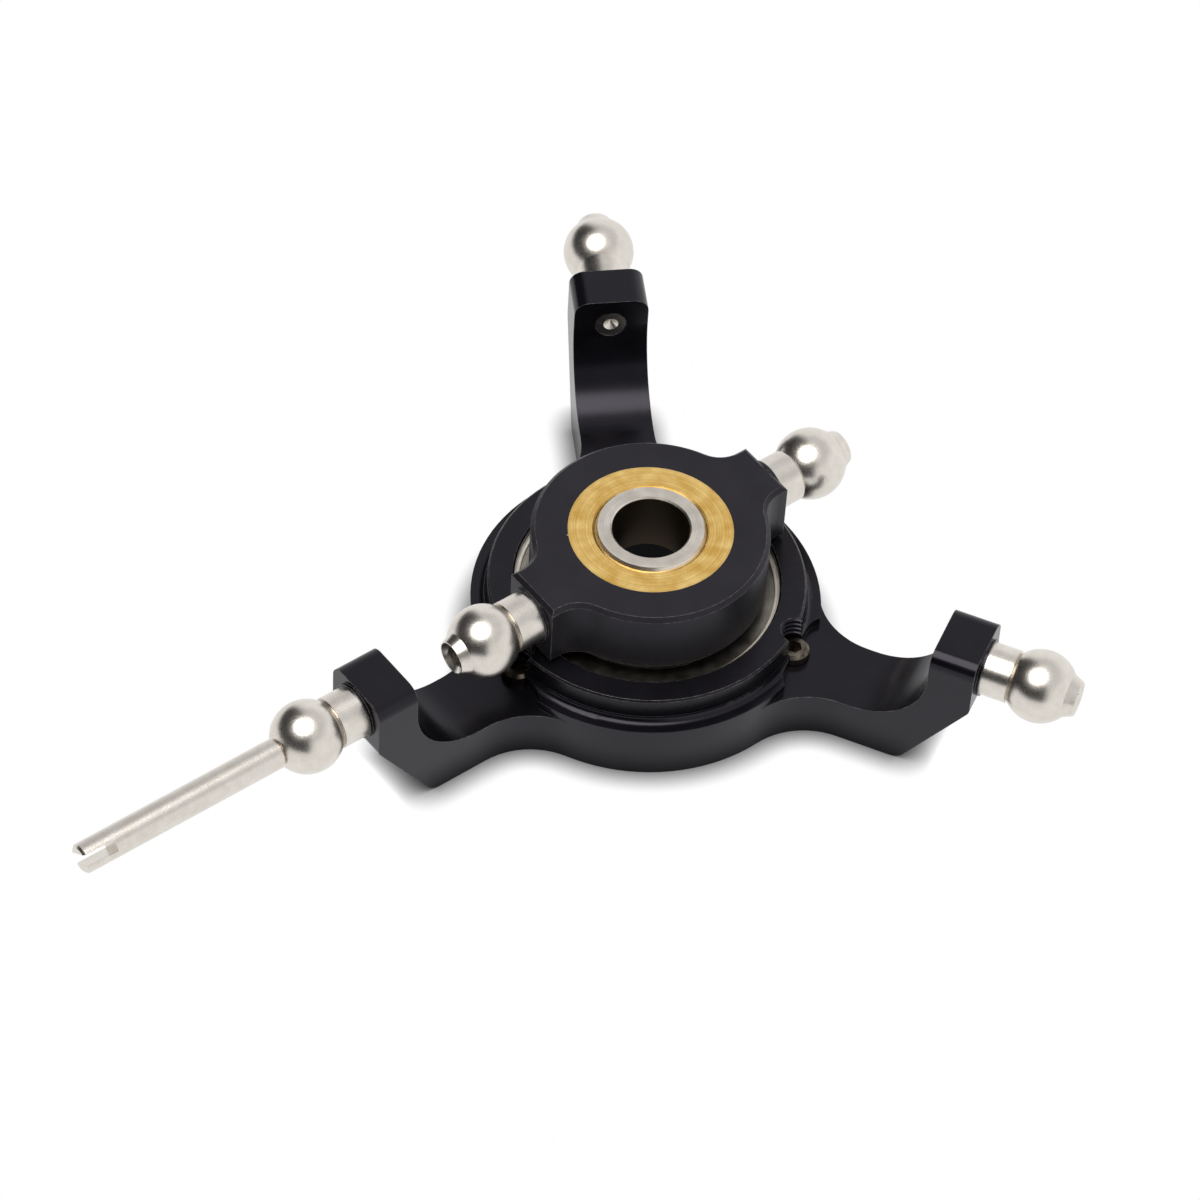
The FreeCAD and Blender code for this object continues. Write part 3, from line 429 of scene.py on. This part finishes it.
finishes = {
    "outer_plate": milled_black,
    "bearing_cap": cap_black,
    "rotating_hub": turned_black,
    "bearing_outer_race": bearing_steel,
    "bearing_inner_race": bearing_steel,
    "bearing_balls": bearing_steel,
    "bearing_shield_lower": shield_steel,
    "bearing_shield_upper": shield_steel,
    "bearing_cage": cage_nylon,
    "retaining_ring": spring_steel,
    "race_ring_lower": race_brass,
    "race_ring_upper": race_brass,
    "uniball": uniball_steel,
    "outer_ball_stud_right": nickel["right"],
    "outer_ball_stud_left": nickel["left"],
    "anti_rotation_stud": nickel["tail"],
    "inner_ball_stud_tail": nickel["tail"],
    "inner_ball_stud_nose": nickel["tail"],
    "lock_screw_tail": screw_steel_with_painted_shade,
    "lock_screw_right": screw_steel_with_painted_shade,
    "lock_screw_left": screw_steel_with_painted_shade,
}
for name, material in finishes.items():
    nodes[name].data.materials.clear()
    nodes[name].data.materials.append(material)


# ---- Thread in the cap's half of each lock screw hole ----

THREAD_PITCH = 0.4 * MM
THREAD_SECTION = 0.1 * MM
THREAD_STEPS = 40
HOLE_GAP = 0.03 * MM
RIDGE_STAND_OFF = 0.02 * MM
CREST_INWARDS = Matrix(((0, -1, 0), (0, 0, -1), (1, 0, 0))).to_euler()
SMOOTH_BELOW = math.radians(30)


def add_thread(side):
    """Ridges of the screw thread that show above one lock screw, on the side towards the mast."""
    low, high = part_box("lock_screw_" + side)
    centre = (Vector(low) + Vector(high)) / 2
    hole = (high[0] - low[0]) / 2 + HOLE_GAP
    head = high[2]
    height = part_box("bearing_cap")[1][2] - head
    turns = int(height / THREAD_PITCH)
    centre.z = head + (height - turns * THREAD_PITCH) / 2
    bpy.ops.object.select_all(action="DESELECT")
    bpy.ops.mesh.primitive_circle_add(
        vertices=3, radius=THREAD_SECTION, location=centre, rotation=CREST_INWARDS
    )
    ridge = bpy.context.active_object
    ridge.name = "lock_thread_" + side
    bpy.ops.object.transform_apply(location=False, rotation=True, scale=True)
    bpy.ops.object.mode_set(mode="EDIT")
    bpy.ops.mesh.select_all(action="SELECT")
    bpy.ops.transform.translate(value=(hole - RIDGE_STAND_OFF, 0, 0))
    bpy.ops.object.mode_set(mode="OBJECT")
    coil = ridge.modifiers.new("coil", "SCREW")
    coil.axis = "Z"
    coil.angle = math.tau
    coil.screw_offset = THREAD_PITCH
    coil.iterations = turns
    coil.steps = THREAD_STEPS
    coil.render_steps = THREAD_STEPS
    bpy.ops.object.modifier_apply(modifier=coil.name)
    bpy.ops.object.transform_apply(location=True)
    outwards = Vector((centre.x, centre.y, 0)).normalized()
    bpy.ops.object.mode_set(mode="EDIT")
    bpy.ops.mesh.select_all(action="SELECT")
    bpy.ops.mesh.bisect(plane_co=centre, plane_no=outwards, use_fill=True, clear_outer=True)
    bpy.ops.mesh.select_all(action="SELECT")
    bpy.ops.mesh.normals_make_consistent(inside=False)
    bpy.ops.object.mode_set(mode="OBJECT")
    bpy.ops.object.shade_smooth_by_angle(angle=SMOOTH_BELOW)
    ridge.data.materials.append(milled_black)
    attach(ridge, "plate")


for side in ARM_ANGLES:
    add_thread(side)


# ---- Floor, world and lamp ----

WHITE = (1, 1, 1, 1)
FLOOR_SIZE = 4.0
PAPER_FIBRE = 0.4 * MM
SHADOW_REACH = 1.8 * MM
SHADOW_DEPTH = 2.2
SHADOW_SAMPLES = 12

# Painted shade under the part: the paper's glow is dimmest within the first distance from the
# mast and plain white past the second.
UNDER_HUB = 6 * MM
UNDER_PLATE = 10 * MM
DARKEST_PAINTED_SHADE = 0.2


def white_floor():
    """White paper. Rays from the camera, reflections and glass see it glowing pure white, with
    the object's contact shadow and a dim patch under the part painted into that glow; what it
    lends to the object is its own plain diffuse light."""
    material, tree = blank_material("white_paper")
    place = add_node(tree, "ShaderNodeTexCoord", output="Object")
    fibre = add_node(tree, NOISE, Vector=place, Scale=1 / PAPER_FIBRE, Detail=3.0)
    colour = add_node(tree, RAMP, stops=((0.3, "#f1f1f1"), (0.7, "#f5f5f5")), Fac=fibre)
    paper = add_node(tree, "ShaderNodeBsdfDiffuse", Color=colour)
    # The object's contact shadow is painted into the paper's glow from how open the sky is
    # nearby.
    open_sky = add_node(
        tree, "ShaderNodeAmbientOcclusion", {"samples": SHADOW_SAMPLES}, "AO",
        Distance=SHADOW_REACH,
    )
    painted_contact_shadow = add_node(tree, MATH, {"operation": "POWER"}, _0=open_sky, _1=SHADOW_DEPTH)
    painted_shade_under_part = add_node(
        tree, RANGE, Value=distance_from_mast(tree, place),
        From_Min=UNDER_HUB, From_Max=UNDER_PLATE, To_Min=DARKEST_PAINTED_SHADE,
    )
    glow_with_painted_shadow = add_node(tree, MATH, {"operation": "MULTIPLY"}, _0=painted_contact_shadow, _1=painted_shade_under_part)
    glow = add_node(tree, "ShaderNodeEmission", Color=WHITE, Strength=glow_with_painted_shadow)
    seen = add_node(tree, "ShaderNodeLightPath", output="Is Camera Ray")
    path = seen.node
    for ray in ("Is Glossy Ray", "Is Transmission Ray"):
        seen = add_node(tree, MATH, {"operation": "MAXIMUM"}, _0=seen, _1=path.outputs[ray])
    shader = add_node(tree, "ShaderNodeMixShader", _0=seen, _1=paper, _2=glow)
    add_node(tree, "ShaderNodeOutputMaterial", Surface=shader)
    return material


def add_floor():
    """Sheet of paper under the part's lowest point."""
    bpy.ops.object.select_all(action="DESELECT")
    bpy.ops.mesh.primitive_plane_add(size=FLOOR_SIZE, location=(0, 0, cad_box[0][2]))
    floor = bpy.context.active_object
    floor.name = "paper_floor"
    bpy.ops.object.transform_apply(location=True)
    floor.data.materials.append(white_floor())


BACKDROP = (1, 1, 1, 1)
CEILING = (0.68, 0.68, 0.69, 1)
DARK_ROOM = (0.015, 0.015, 0.018, 1)
# Sines of the elevations where the backdrop ends and where the ceiling is reached.
BACKDROP_END = 0.35
CEILING_START = 0.72
# The dark room lies round this direction, and these are the cosines where it fades in.
ROOM_CENTRE = direction(math.radians(-20), math.radians(8))
ROOM_EDGE = -0.05
ROOM_FULL = 0.25


def add_world():
    """Studio: a white backdrop low down behind the part, a dim ceiling, and a dark room on the
    camera's side. The camera itself sees white."""
    world = bpy.data.worlds.new("studio")
    bpy.context.scene.world = world
    world.use_nodes = True
    tree = world.node_tree
    tree.nodes.clear()
    way = add_node(tree, "ShaderNodeTexCoord", output="Generated")
    height = add_node(tree, "ShaderNodeSeparateXYZ", output="Z", Vector=way)
    smooth = {"interpolation_type": "SMOOTHSTEP"}
    up = add_node(
        tree, RANGE, smooth, Value=height, From_Min=BACKDROP_END, From_Max=CEILING_START
    )
    behind = add_node(tree, MIX, COLOURS, MIXED, _0=up, _6=BACKDROP, _7=CEILING)
    facing = add_node(
        tree, VECTOR, {"operation": "DOT_PRODUCT"}, "Value", _0=way, _1=ROOM_CENTRE
    )
    room = add_node(tree, RANGE, smooth, Value=facing, From_Min=ROOM_EDGE, From_Max=ROOM_FULL)
    dim = add_node(tree, MIX, COLOURS, MIXED, _0=room, _6=behind, _7=DARK_ROOM)
    camera = add_node(tree, "ShaderNodeLightPath", output="Is Camera Ray")
    colour = add_node(tree, MIX, COLOURS, MIXED, _0=camera, _6=dim, _7=WHITE)
    backdrop = add_node(tree, "ShaderNodeBackground", Color=colour)
    add_node(tree, "ShaderNodeOutputWorld", Surface=backdrop)


def add_softbox(name, azimuth, elevation, distance, width, power, colour):
    """Round soft lamp aimed at the object from an azimuth and elevation in degrees."""
    lamp = bpy.data.objects.new(name, bpy.data.lights.new(name, "AREA"))
    bpy.context.scene.collection.objects.link(lamp)
    lamp.data.shape = "DISK"
    lamp.data.size = width
    lamp.data.energy = power
    lamp.data.color = linear(colour)[:3]
    back = direction(math.radians(azimuth), math.radians(elevation))
    lamp.location = back * distance
    lamp.rotation_euler = back.to_track_quat("Z", "Y").to_euler()


add_floor()
add_world()
add_softbox(
    "overhead_softbox", azimuth=2, elevation=74, distance=0.8, width=0.76, power=6.5,
    colour="#fffdfa",
)

bpy.context.scene.view_settings.view_transform = "Standard"
